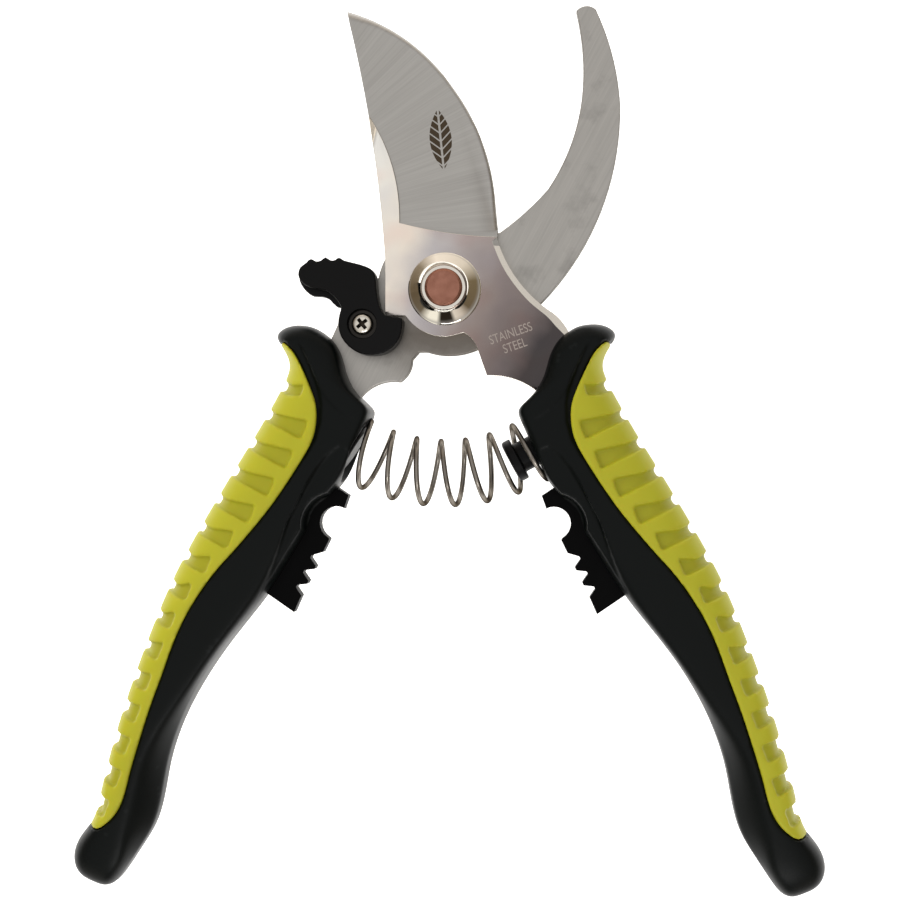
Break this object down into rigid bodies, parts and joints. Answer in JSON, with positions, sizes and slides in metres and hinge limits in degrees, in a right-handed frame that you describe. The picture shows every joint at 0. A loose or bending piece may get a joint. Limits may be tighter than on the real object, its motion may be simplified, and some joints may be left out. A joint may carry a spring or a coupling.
{
  "type": "bypass pruner",
  "caption": "Bypass pruner with a ground cutting blade, hooked counter blade, coil return spring, thumb lock and soft-grip handles with stripping combs.",
  "frame": {"origin": "centre of the flat back face of the pivot rivet's head, on the pivot axis", "axes": "+Y from the pivot towards the blade tips, +X towards the hooked jaw, +Z along the pivot axis towards the front face with the cone washer"},
  "size_m": [0.1576, 0.1852, 0.017],
  "materials": {
    "ground_steel": "satin ground with polished flats",
    "hook_steel": "satin",
    "rivet_copper": "worn copper-coloured rivet",
    "chrome_washer": "bright",
    "screw_steel": "bright",
    "spring_wire": "drawn wire",
    "black_nylon": "fine moulded texture",
    "shell_plastic": "fine moulded texture",
    "lime_grip": "soft matt"
  },
  "bodies": {
    "hook_side": {"counter_blade": "hook_steel", "pivot_rivet": "rivet_copper", "pivot_cone_washer": "chrome_washer", "pivot_back_washer": "chrome_washer", "lock_screw": "screw_steel", "lock_wave_washer": "screw_steel", "return_spring": "spring_wire", "left_spring_stud": "black_nylon", "left_handle_shell": "shell_plastic", "left_grip": "lime_grip", "left_comb": "black_nylon"},
    "blade_side": {"cutting_blade": "ground_steel", "right_handle_shell": "shell_plastic", "right_grip": "lime_grip", "right_comb": "black_nylon", "right_spring_stud": "black_nylon"},
    "lock_lever": {"lock_lever": "black_nylon"}
  },
  "joints": [
    {"name": "blade_pivot", "type": "hinge", "parent": "hook_side", "child": "blade_side", "pos_m": [0, 0, 0], "axis": [0, 0, -1], "range_deg": [0, 48], "stiffness_Nm_per_rad": 2, "springref_deg": -11.46, "deforming": ["return_spring"]},
    {"name": "lock_turn", "type": "hinge", "parent": "hook_side", "child": "lock_lever", "pos_m": [-0.0171, -0.0073, 0], "axis": [0, 0, -1], "range_deg": [0, 6]}
  ]
}
